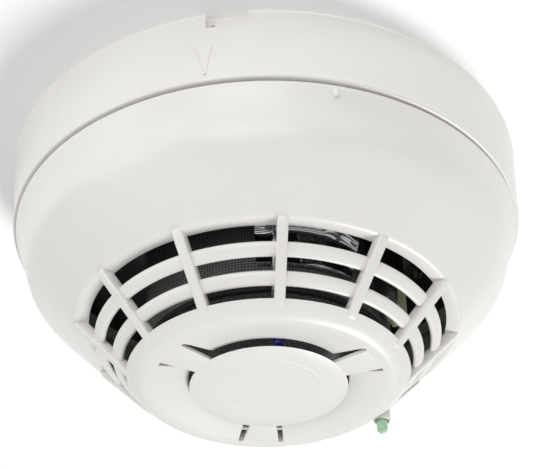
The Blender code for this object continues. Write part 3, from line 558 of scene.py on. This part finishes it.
def lower_ring():
    """Foot of the grille, rounded rim and the bowl that leads in to the disc."""
    slope = (SHOULDER[0] - FOOT[0]) / (FOOT[1] - SHOULDER[1])
    rim_depth = CREST[1]
    outside = bend((cone_radius(RING_TOP) - 0.55, RING_TOP), (cone_radius(RING_TOP), RING_TOP),
                   (cone_radius(RING_TOP + 0.2), RING_TOP + 0.2), 5)
    outside += bend(FOOT, (FOOT[0] - (rim_depth - FOOT[1]) * slope, rim_depth), CREST, 16)
    outside += bend(CREST, (22.4, rim_depth), (21.0, rim_depth - 0.4), 12)[1:]
    edge = bend((BOWL_EDGE[0] + 0.3, BOWL_EDGE[1] + 0.05), BOWL_EDGE,
                (BOWL_EDGE[0], BOWL_EDGE[1] - 0.3), 4)
    inside = [
        (BOWL_EDGE[0], BOWL_EDGE[1] - 1.1), (BOWL_EDGE[0] + 0.2, BOWL_EDGE[1] - 1.3),
        (19.3, rim_depth - 1.8), (22.6, rim_depth - 1.7),
        (cone_radius(FOOT[1] + 0.4) - GRILLE_WALL, FOOT[1] + 0.4),
        (cone_radius(RING_TOP) - GRILLE_WALL + 0.1, RING_TOP + 0.1),
        (cone_radius(RING_TOP) - GRILLE_WALL + 0.3, RING_TOP),
    ]
    return turned("front_cover_ring", outside + edge + inside)


def arm_half_width(radius):
    share = (radius - DISC_RADIUS) / ARM_REACH
    return (ARM_WIDTHS[0] + (ARM_WIDTHS[1] - ARM_WIDTHS[0]) * share) / 2


def cut_arm_openings(ring):
    """Two slots beside each arm, and the bowl's edge opened over the arm's root."""
    inner, outer = BOWL_EDGE[0] - 2.0, DISC_RADIUS + ARM_REACH - 0.4
    openings = bmesh.new()
    for azimuth in ARMS:
        narrow, wide = arm_half_width(inner) + ARM_SLOT, arm_half_width(outer) + ARM_SLOT
        corners = [(-narrow, -inner), (narrow, -inner), (wide, -outer), (-wide, -outer)]
        outline = rounded(corners, (0, 0, 0.5, 0.5), 4)
        add_prism(openings, outline, HEAD_DEPTH - 6, HEAD_DEPTH + 1, azimuth)
    cut(ring, make_object("cut_arm_openings", openings))


def disc():
    """Thin disc that ends in a fine edge, with one faint raised ring."""
    face = HEAD_DEPTH
    dish = [(0, face - 0.9), (11.0, face - 0.9), (13.4, face - 0.5)]
    edge = [
        (DISC_RADIUS - 0.35, face - 0.4), (DISC_RADIUS, face - 0.14),
        (DISC_RADIUS - 0.02, face - 0.06), (DISC_RADIUS - 0.14, face),
    ]
    ring = [
        (DISC_RING + 0.6, face), (DISC_RING + 0.32, face), (DISC_RING + 0.14, face + 0.07),
        (DISC_RING - 0.14, face + 0.07), (DISC_RING - 0.32, face), (DISC_RING - 0.6, face),
    ]
    return turned("front_cover_disc", dish + edge + ring + [(0, face)])


def arms():
    """Three arms that rise from inside the disc's edge to inside the rim."""
    near = DISC_RADIUS - ARM_ROOT
    far = DISC_RADIUS + ARM_REACH + ARM_ANCHOR
    face = HEAD_DEPTH - 0.03
    made = []
    for number, azimuth in enumerate(ARMS):
        builder = bmesh.new()
        turn = Matrix.Rotation(math.radians(azimuth), 3, "Z")
        ends = []
        for radius, depth in ((near, face), (far, face - ARM_RISE)):
            half = arm_half_width(radius)
            top = depth - ARM_THICKNESS
            corners = ((-half, top), (half, top), (half, depth), (-half, depth))
            ends.append([
                builder.verts.new(turn @ Vector((x, -radius, -d)) * MM) for x, d in corners])
        first, last = ends
        builder.faces.new(first)
        builder.faces.new(last)
        for i in range(4):
            j = (i + 1) % 4
            builder.faces.new((first[i], first[j], last[j], last[i]))
        arm = make_object(f"arm_{number}", builder)
        bevelled(arm, 0.14, 3, 50)
        made.append(arm)
    return made


def ribs():
    """Twelve radial bars that stand a little proud of the cone, with rounded edges."""
    top, bottom = GRILLE_TOP - 0.35, FOOT[1] + 0.5
    outline = [
        (cone_radius(top) - 1.2, top - 0.2), (cone_radius(top) - 0.05, top),
        (cone_radius(top + 1.0) + RIB_PROUD, top + 1.0), (cone_radius(bottom) + 0.30, bottom),
        (cone_radius(bottom + 0.5) - 0.35, bottom + 0.5), (cone_radius(bottom) - 1.6, bottom + 0.2),
        (cone_radius(FOOT[1] - 0.5) - GRILLE_WALL + 0.15, FOOT[1] - 0.4),
        (cone_radius(GRILLE_TOP) - GRILLE_WALL + 0.25, GRILLE_TOP - 0.2),
    ]
    made = []
    for i in range(RIBS):
        builder = bmesh.new()
        turn = Matrix.Rotation(2 * math.pi * i / RIBS, 3, "Z")
        left, right = [
            [builder.verts.new(turn @ Vector((x, -r, -d)) * MM) for r, d in outline]
            for x in (-RIB_WIDTH / 2, RIB_WIDTH / 2)
        ]
        builder.faces.new(left)
        builder.faces.new(right)
        for j in range(len(left)):
            k = (j + 1) % len(left)
            builder.faces.new((left[j], left[k], right[k], right[j]))
        rib = make_object(f"rib_{i}", builder)
        bevelled(rib, 0.34, 4, 20)
        if abs(360 * i / RIBS - LIGHT_AZIMUTH) < 0.1:
            bore_for_light(rib)
        made.append(rib)
    return made


def slats():
    """Two rings of rounded bars, set back between the ribs."""
    along = Vector((FOOT[0] - SHOULDER[0], FOOT[1] - SHOULDER[1])).normalized()
    out = Vector((along.y, -along.x))
    made = []
    for number, rise in enumerate(SLAT_RISES):
        depth = FOOT[1] - rise
        centre = Vector((cone_radius(depth), depth)) - out * SLAT_SETBACK
        outline = []
        for i in range(20):
            angle = 2 * math.pi * i / 20
            a = math.copysign(abs(math.cos(angle)) ** 0.75, math.cos(angle)) * SLAT_HALF_WIDTH
            o = math.copysign(abs(math.sin(angle)) ** 0.85, math.sin(angle)) * SLAT_HALF_THICKNESS
            outline.append(tuple(centre + along * a + out * o))
        slat = turned(f"slat_{number}", outline)
        bore_for_light(slat)
        made.append(slat)
    return made


def light_boss():
    """Collar round the light pipe where it comes through the cover."""
    end = HEAD_DEPTH - BOSS_END
    top = end - BOSS_LENGTH
    builder = bmesh.new()
    outline = [
        (BORE_RADIUS, top), (BOSS_RADIUS, top), (BOSS_RADIUS, end - 0.25),
        (BOSS_RADIUS - 0.07, end - 0.06), (BOSS_RADIUS - 0.2, end), (BORE_RADIUS, end - 0.1),
    ]
    add_turned(builder, outline, steps=40)
    boss = make_object("light_boss", builder)
    angle = math.radians(LIGHT_AZIMUTH)
    boss.location = Vector((math.sin(angle), -math.cos(angle), 0)) * LIGHT_PLACE * MM
    bpy.context.view_layer.update()
    return boss


def bore_for_light(target):
    builder = bmesh.new()
    add_prism(builder, circle(BORE_RADIUS + 0.02, LIGHT_PLACE), GRILLE_TOP, HEAD_DEPTH + 1,
              LIGHT_AZIMUTH)
    cut(target, make_object("cut_light_bore", builder))


def tick_mark():
    """Small half-round bar that runs down from the cover's top edge."""
    face = COVER_RADIUS - 1.5 * 1.3 / 3.9
    builder = bmesh.new()
    add_prism(builder, rectangle(TICK_WIDTH, face - 0.9, face + 0.42), COVER_TOP + TICK_TOP,
              COVER_TOP + TICK_BOTTOM, TICK_AZIMUTH)
    tick = make_object("tick_mark", builder)
    bevelled(tick, 0.30, 4)
    return tick


def build_cover(finishes):
    shell = upper_shell()
    ring = lower_ring()
    cut_arm_openings(ring)
    bore_for_light(ring)
    pieces = [shell, ring, disc(), *arms(), *ribs(), *slats(), light_boss(), tick_mark()]
    cover = merge("front_cover_body", pieces)
    cover.data.shade_smooth()
    cover.data.set_sharp_from_angle(angle=math.radians(40))
    dress(cover, "cover", finishes["white_plastic"], "white_plastic", "front_cover")


# ---------------------------------------------------------------- mounting base

PLATE_TOP, PLATE_BOTTOM = 1.6, 4.2
RIM_INSIDE = BASE_RADIUS - 3.0
ENTRY_RADIUS = 17.5
NOTCH = (-16.2, -7.4)
NOTCH_HEIGHT = 3.0
NOTCH_DEPTH = 1.6
TERMINALS = (45.0, 135.0, 225.0, 315.0)
TERMINAL_RADIUS = 34.5
SCREW_SPACINGS = (60.3, 83.3)
MARK_AZIMUTH, MARK_DEPTH = -16.4, 13.9
MARK_ARMS = (-2.2, 1.3)         # degrees from the apex to each arm's top
MARK_HEIGHT, MARK_THICKNESS = 6.5, 0.5
WALL_DRAFT = 0.8                # how much narrower the wall is at its lower edge
SLOT_HALF_WIDTH, SLOT_HALF_STRAIGHT = 2.0, 3.0
LOCK_AZIMUTH = -15.0
LEDGE_CENTRES = (-1.25, 118.75, 238.75)
LEDGE_TOP, LEDGE_BOTTOM = 9.4, 11.2
TOOL_HOLE_AZIMUTH, TOOL_HOLE_DEPTH, TOOL_HOLE_RADIUS = -15.2, 2.0, 0.8
WEBS = 16


def base_wall():
    lower = BASE_RADIUS - WALL_DRAFT
    corners = [
        (ENTRY_RADIUS, 0), (ENTRY_RADIUS + 2.3, 0), (ENTRY_RADIUS + 2.3, PLATE_TOP),
        (RIM_INSIDE, PLATE_TOP), (RIM_INSIDE, 0), (BASE_RADIUS, 0), (lower + 0.05, BASE_DEPTH - 1.0),
        (lower + 0.17, BASE_DEPTH - 0.55), (lower, BASE_DEPTH),
        (lower - 2.6, BASE_DEPTH), (RIM_INSIDE, PLATE_BOTTOM), (ENTRY_RADIUS, PLATE_BOTTOM),
    ]
    radii = (0.3, 0.3, 0.4, 0.4, 0.25, 0.3, 0.2, 0.2, 0.35, 0.3, 0.5, 0.3)
    outline = rounded(corners, radii, 4)
    return turned("base_wall", outline)


def wall_arrow(builder, azimuth, apex_depth):
    """Adds a V of two thin bars on the outside of the wall."""
    for lean in MARK_ARMS:
        steps = 6
        rows = []
        for i in range(steps + 1):
            t = i / steps
            depth = apex_depth - MARK_HEIGHT * t
            radius = BASE_RADIUS - WALL_DRAFT * depth / BASE_DEPTH
            middle = azimuth + lean * t
            spread = math.degrees(MARK_THICKNESS / 2 / radius)
            rows.append([
                (radius - 0.3, middle - spread, depth), (radius + 0.14, middle - spread * 0.5, depth),
                (radius + 0.14, middle + spread * 0.5, depth), (radius - 0.3, middle + spread, depth),
            ])
        verts = [[
            builder.verts.new((r * math.sin(math.radians(a)) * MM, -r * math.cos(math.radians(a)) * MM,
                               -d * MM)) for r, a, d in row] for row in rows]
        for row, after in zip(verts, verts[1:]):
            for j in range(4):
                k = (j + 1) % 4
                builder.faces.new((row[j], row[k], after[k], after[j]))
        builder.faces.new(verts[0])
        builder.faces.new(verts[-1])


def base_cutters():
    """Cuts for the base: edge notch, slots, terminal and lock holes."""
    cutters = bmesh.new()
    notch = [(BASE_RADIUS - NOTCH_DEPTH, -1), (BASE_RADIUS + 2, -1), (BASE_RADIUS + 2, NOTCH_HEIGHT),
             (BASE_RADIUS - NOTCH_DEPTH, NOTCH_HEIGHT)]
    add_turned(cutters, notch, *NOTCH, 12)
    for azimuth, spacing in zip((90, 270, 0, 180), sorted(SCREW_SPACINGS * 2)):
        corners = []
        for side in (1, -1):
            for i in range(13):
                angle = math.pi * i / 12
                along = SLOT_HALF_WIDTH * math.sin(angle) + SLOT_HALF_STRAIGHT
                corners.append((side * SLOT_HALF_WIDTH * math.cos(angle),
                                side * along - spacing / 2))
        add_prism(cutters, corners, -1, PLATE_BOTTOM + 1, azimuth)
    for azimuth in TERMINALS:
        add_prism(cutters, circle(1.7, TERMINAL_RADIUS, 24), -1, PLATE_BOTTOM + 1, azimuth)
    lock_low, lock_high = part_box("tamper_lock")
    middle = (lock_low + lock_high) / 2
    reach = Vector((middle.x, middle.y)).length / MM
    add_prism(cutters, rectangle(3.8, reach - 1.3, reach + 1.2), -1, PLATE_BOTTOM + 1,
              LOCK_AZIMUTH)
    return make_object("cut_base", cutters)


def base_additions():
    """Screw pads and stiffening webs on the plate's back, and lock ledges."""
    builder = bmesh.new()
    for azimuth, spacing in zip((90, 270, 0, 180), sorted(SCREW_SPACINGS * 2)):
        centre = spacing / 2
        outer = min(centre + 7.0, RIM_INSIDE + 0.3)
        add_prism(builder, rounded(rectangle(8.0, centre - 7.0, outer), (1.2,) * 4, 4), 0,
                  PLATE_TOP + 0.4, azimuth)
    for i in range(WEBS):
        azimuth = 360 / WEBS * (i + 0.5)
        add_prism(builder, rectangle(0.9, ENTRY_RADIUS + 2.0, RIM_INSIDE + 0.3), 0.45,
                  PLATE_TOP + 0.4, azimuth)
    inner, outer = RIM_INSIDE - 2.5, RIM_INSIDE + 0.4
    outline = [(inner, LEDGE_TOP), (outer, LEDGE_TOP), (outer, LEDGE_BOTTOM), (inner, LEDGE_BOTTOM)]
    for centre in LEDGE_CENTRES:
        add_turned(builder, outline, centre - 11, centre + 11, 24)
    return make_object("add_base", builder)


def terminal_bosses():
    builder = bmesh.new()
    for azimuth in TERMINALS:
        add_prism(builder, circle(3.2, TERMINAL_RADIUS, 40), 0.5, PLATE_TOP + 0.4, azimuth)
    ring = [(27.0, 0.7), (27.9, 0.7), (27.9, PLATE_TOP + 0.4), (27.0, PLATE_TOP + 0.4)]
    add_turned(builder, ring, steps=96)
    return make_object("add_bosses", builder)


def tool_hole():
    """Small hole in the notch, where a tool reaches the lock."""
    hole = bmesh.new()
    bmesh.ops.create_cone(
        hole, cap_ends=True, segments=24, radius1=TOOL_HOLE_RADIUS * MM,
        radius2=TOOL_HOLE_RADIUS * MM, depth=9 * MM,
        matrix=Matrix.Rotation(math.radians(TOOL_HOLE_AZIMUTH), 4, "Z")
        @ Matrix.Translation(Vector((0, -BASE_RADIUS + 1, -TOOL_HOLE_DEPTH)) * MM)
        @ Matrix.Rotation(math.radians(90), 4, "X"))
    return make_object("cut_tool_hole", hole)


def build_base(finishes):
    base = base_wall()
    join(base, base_additions())
    join(base, terminal_bosses())
    cut(base, base_cutters())
    cut(base, tool_hole())
    arrow = bmesh.new()
    wall_arrow(arrow, MARK_AZIMUTH, MARK_DEPTH)
    arrow_object = make_object("wall_arrow", arrow)
    whole = merge("mounting_base_body", [base, arrow_object])
    whole.data.shade_smooth()
    whole.data.set_sharp_from_angle(angle=math.radians(30))
    dress(whole, "base", finishes["white_plastic"], "white_plastic", "mounting_base")


# ---------------------------------------------------------------- inside of the head

def build_screen(finishes):
    """Woven screen: a side band and an end, with a folded hem between them."""
    top = -high("insect_screen", 2)
    side = bmesh.new()
    add_turned(side, [
        (SCREEN_RADIUS - 0.3, top), (SCREEN_RADIUS, top), (SCREEN_RADIUS, SCREEN_DEPTH - 0.7),
        (SCREEN_RADIUS - 0.3, SCREEN_DEPTH - 0.7)], steps=160)
    side_piece = make_object("insect_screen_side", side)
    dress(side_piece, "head", finishes["screen_side"], "screen_mesh", "insect_screen")
    end = turned("insect_screen_end", [
        (0, SCREEN_DEPTH - 0.35), (SCREEN_RADIUS - 0.9, SCREEN_DEPTH - 0.35),
        (SCREEN_RADIUS - 0.9, SCREEN_DEPTH - 0.1), (0, SCREEN_DEPTH - 0.1)], 128)
    dress(end, "head", finishes["screen_end"], "screen_mesh", "insect_screen")
    hem = turned("insect_screen_hem", rounded([
        (SCREEN_RADIUS - 1.1, SCREEN_DEPTH - 0.75), (SCREEN_RADIUS + 0.08, SCREEN_DEPTH - 0.95),
        (SCREEN_RADIUS + 0.08, SCREEN_DEPTH), (SCREEN_RADIUS - 1.1, SCREEN_DEPTH)],
        (0.15, 0.3, 0.35, 0.15), 4), 160)
    dress(hem, "head", finishes["black_plastic"], "black_plastic", "insect_screen")


def build_light_pipe(finishes):
    """Round pipe with a domed tip and a shoulder inside the cover."""
    pipe_low, pipe_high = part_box("light_pipe")
    centre = (pipe_low + pipe_high) / 2
    radius = (pipe_high.x - pipe_low.x) / 2 / MM
    tip, top = -pipe_low.z / MM, -pipe_high.z / MM
    outline = [(0, top), (radius - 0.15, top), (radius, top + 0.15), (radius, tip - radius)]
    for i in range(1, 10):
        angle = math.pi / 2 * i / 10
        outline.append((radius * math.cos(angle), tip - radius * (1 - math.sin(angle))))
    outline.append((0, tip))
    builder = bmesh.new()
    add_turned(builder, outline, steps=40)
    pipe = make_object("light_pipe_body", builder)
    pipe.location = (centre.x, centre.y, 0)
    dress(pipe, "head", finishes["green_clear_plastic"], "green_clear_plastic", "light_pipe")


def build_bead(finishes):
    """Dipped bead, longer towards its leads."""
    bead_low, bead_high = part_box("thermistor")
    centre = (bead_low + bead_high) / 2
    bead_radius = 1.2
    builder = bmesh.new()
    bmesh.ops.create_uvsphere(builder, u_segments=40, v_segments=24, radius=bead_radius * MM)
    for vert in builder.verts:
        if vert.co.y < 0:
            vert.co.x *= 1 + 0.10 * vert.co.y / (bead_radius * MM)
            vert.co.y *= 1.12
    bead = make_object("thermistor_bead", builder, 60)
    bead.location = centre
    dress(bead, "head", finishes["blue_epoxy"], "blue_epoxy", "thermistor")


BOARD_SCREWS = (30, 150, 270)
CHIP_AZIMUTH = 180
SMALL_PARTS = 54
SMALL_PART_SIZES = ((1.6, 0.8, 0.5), (2.0, 1.2, 0.6), (3.0, 1.6, 1.0))     # long, wide, tall


def angle_between(first, second):
    return abs((first - second + 180) % 360 - 180)


def build_board_parts(finishes):
    """Small surface parts on the underside of the board, clear of the larger pieces."""
    chips, ends = bmesh.new(), bmesh.new()
    top = BOARD_DEPTH
    board_radius = high("circuit_board", 0)
    placed = 0
    while placed < SMALL_PARTS:
        azimuth = random.uniform(0, 360)
        radius = random.uniform(31.5, board_radius - 3.0)
        near_screw = any(angle_between(azimuth, screw) < 9 for screw in BOARD_SCREWS)
        near_chip = angle_between(azimuth, CHIP_AZIMUTH) < 12
        if near_screw or near_chip or (52 < azimuth < 68 and radius < 33):
            continue
        long, wide, tall = random.choice(SMALL_PART_SIZES)
        along = random.choice((True, False))
        if not along:
            long, wide = wide, long
        add_prism(chips, rectangle(wide * 0.96, radius - long * 0.3, radius + long * 0.3),
                  top - 0.05, top + tall, azimuth)
        for side in (-1, 1):
            middle = radius + side * long * 0.4
            add_prism(ends, rectangle(wide, middle - long * 0.11, middle + long * 0.11), top - 0.05,
                      top + tall * 1.04, azimuth)
        placed += 1
    body = make_object("board_small_parts", chips)
    dress(body, "head", finishes["chip_resin"], "chip_resin")
    tips = make_object("board_solder_ends", ends)
    dress(tips, "head", finishes["zinc_steel"], "zinc_steel")


def build_capacitor_top(finishes):
    """Crimped groove and slightly sunken end of the capacitor."""
    cap_low, cap_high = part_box("capacitor")
    centre = (cap_low + cap_high) / 2
    radius = (cap_high.x - cap_low.x) / 2 / MM
    top, bottom = -cap_high.z / MM, -cap_low.z / MM
    corners = [
        (0, top), (radius - 0.2, top), (radius, top + 0.6), (radius, top + 2.0),
        (radius - 0.45, top + 2.5), (radius, top + 3.0), (radius, bottom - 0.5),
        (radius - 0.35, bottom), (radius - 0.7, bottom - 0.15), (0, bottom - 0.15),
    ]
    outline = rounded(corners, (0, 0.1, 0.3, 0.3, 0.3, 0.3, 0.3, 0.1, 0.1, 0), 3)
    builder = bmesh.new()
    add_turned(builder, outline, steps=48)
    can = make_object("capacitor_can", builder)
    can.location = (centre.x, centre.y, 0)
    dress(can, "head", finishes["black_sleeve"], "black_sleeve", "capacitor")


def dress_frame_nodes(finishes):
    """Each CAD node that stays gets its own node material, by the record's slot."""
    slots = {part["node"]: part["material_slot"] for part in frame["record"]["subparts"]}
    for name, item in frame["nodes"].items():
        finish = finishes.get(slots[name])
        if finish is None:
            continue
        item.data.materials.clear()
        item.data.materials.append(finish)


# ---------------------------------------------------------------- stage, light and camera

CEILING_Z = 0.00025


def build_ceiling():
    """Pale ceiling seen from below, and clear from behind so that the base's back shows."""
    size = 1.6
    builder = bmesh.new()
    corners = [builder.verts.new((x, y, CEILING_Z)) for x, y in
               ((-size, -size), (-size, size), (size, size), (size, -size))]
    builder.faces.new(corners)
    mesh = bpy.data.meshes.new("ceiling")
    builder.to_mesh(mesh)
    builder.free()
    ceiling = bpy.data.objects.new("ceiling", mesh)
    bpy.context.collection.objects.link(ceiling)
    finish = Finish("ceiling_paint", (0.93, 0.93, 0.93), 0.85)
    finish.vary_colour(finish.spread(finish.noise(60.0, 3.0), 0.0, 1.0), (0.925, 0.925, 0.925))
    finish.bump(finish.noise(1.5, 3.0), 0.01)
    clear = finish.node("ShaderNodeBsdfTransparent")
    mix = finish.node("ShaderNodeMixShader")
    geometry = finish.node("ShaderNodeNewGeometry")
    output = finish.tree.nodes["Material Output"]
    finish.link(geometry.outputs["Backfacing"], mix.inputs["Fac"])
    finish.link(finish.shader.outputs["BSDF"], mix.inputs[1])
    finish.link(clear.outputs["BSDF"], mix.inputs[2])
    finish.link(mix.outputs["Shader"], output.inputs["Surface"])
    ceiling.data.materials.append(finish.material)
    ceiling.visible_shadow = False


def area_light(name, place, target, size, power, colour=(1.0, 1.0, 1.0)):
    light = bpy.data.lights.new(name, "AREA")
    light.shape = "DISK"
    light.size = size
    light.energy = power
    light.color = colour
    made = bpy.data.objects.new(name, light)
    bpy.context.collection.objects.link(made)
    made.location = place
    made.rotation_euler = (Vector(target) - Vector(place)).to_track_quat("-Z", "Y").to_euler()


def build_lights():
    middle = (0.0, 0.0, -0.025)
    area_light("key", (0.38, 0.40, -0.80), middle, 0.32, 5.6)
    area_light("front", (-0.20, -1.00, -0.22), middle, 0.70, 3.3)
    area_light("fill", (-0.90, -0.40, -0.24), middle, 0.70, 2.2)
    area_light("from_above", (0.1, 0.1, 0.9), (0, 0, 0), 0.6, 5.0)
    world = bpy.data.worlds.new("studio")
    world.use_nodes = True
    background = world.node_tree.nodes["Background"]
    background.inputs["Color"].default_value = (1.0, 1.0, 1.0, 1.0)
    background.inputs["Strength"].default_value = 0.52
    bpy.context.scene.world = world
    bpy.context.scene.view_settings.view_transform = "Standard"
    bpy.context.scene.view_settings.exposure = 0.0


def build_camera():
    """Looks up at the front of the detector, which is turned a few degrees to the right."""
    turn = math.radians(-4.7)
    tilt = math.radians(35.862)
    roll = math.radians(-1.024)
    distance, lift = 315.77, 10.42
    about = Matrix.Rotation(turn, 3, "Z")
    forward = about @ Vector((0, math.cos(tilt), math.sin(tilt)))
    right = about @ Vector((1, 0, 0))
    up = about @ Vector((0, -math.sin(tilt), math.cos(tilt)))
    place = -(forward * distance + right * -0.083 + up * lift) * MM
    x_axis = right * math.cos(roll) + up * math.sin(roll)
    y_axis = up * math.cos(roll) - right * math.sin(roll)
    camera_data = bpy.data.cameras.new("camera")
    camera_data.sensor_width = 36.0
    camera_data.lens = 101.3
    camera_data.clip_start = 0.01
    camera = bpy.data.objects.new("camera", camera_data)
    bpy.context.collection.objects.link(camera)
    matrix = Matrix((x_axis, y_axis, -forward)).transposed().to_4x4()
    matrix.translation = place
    camera.matrix_world = matrix
    bpy.context.scene.camera = camera


# ---------------------------------------------------------------- assembly

def main():
    build_camera()
    finishes = make_materials()
    dress_frame_nodes(finishes)
    build_cover(finishes)
    build_base(finishes)
    build_screen(finishes)
    build_light_pipe(finishes)
    build_bead(finishes)
    build_board_parts(finishes)
    build_capacitor_top(finishes)
    build_ceiling()
    build_lights()


main()
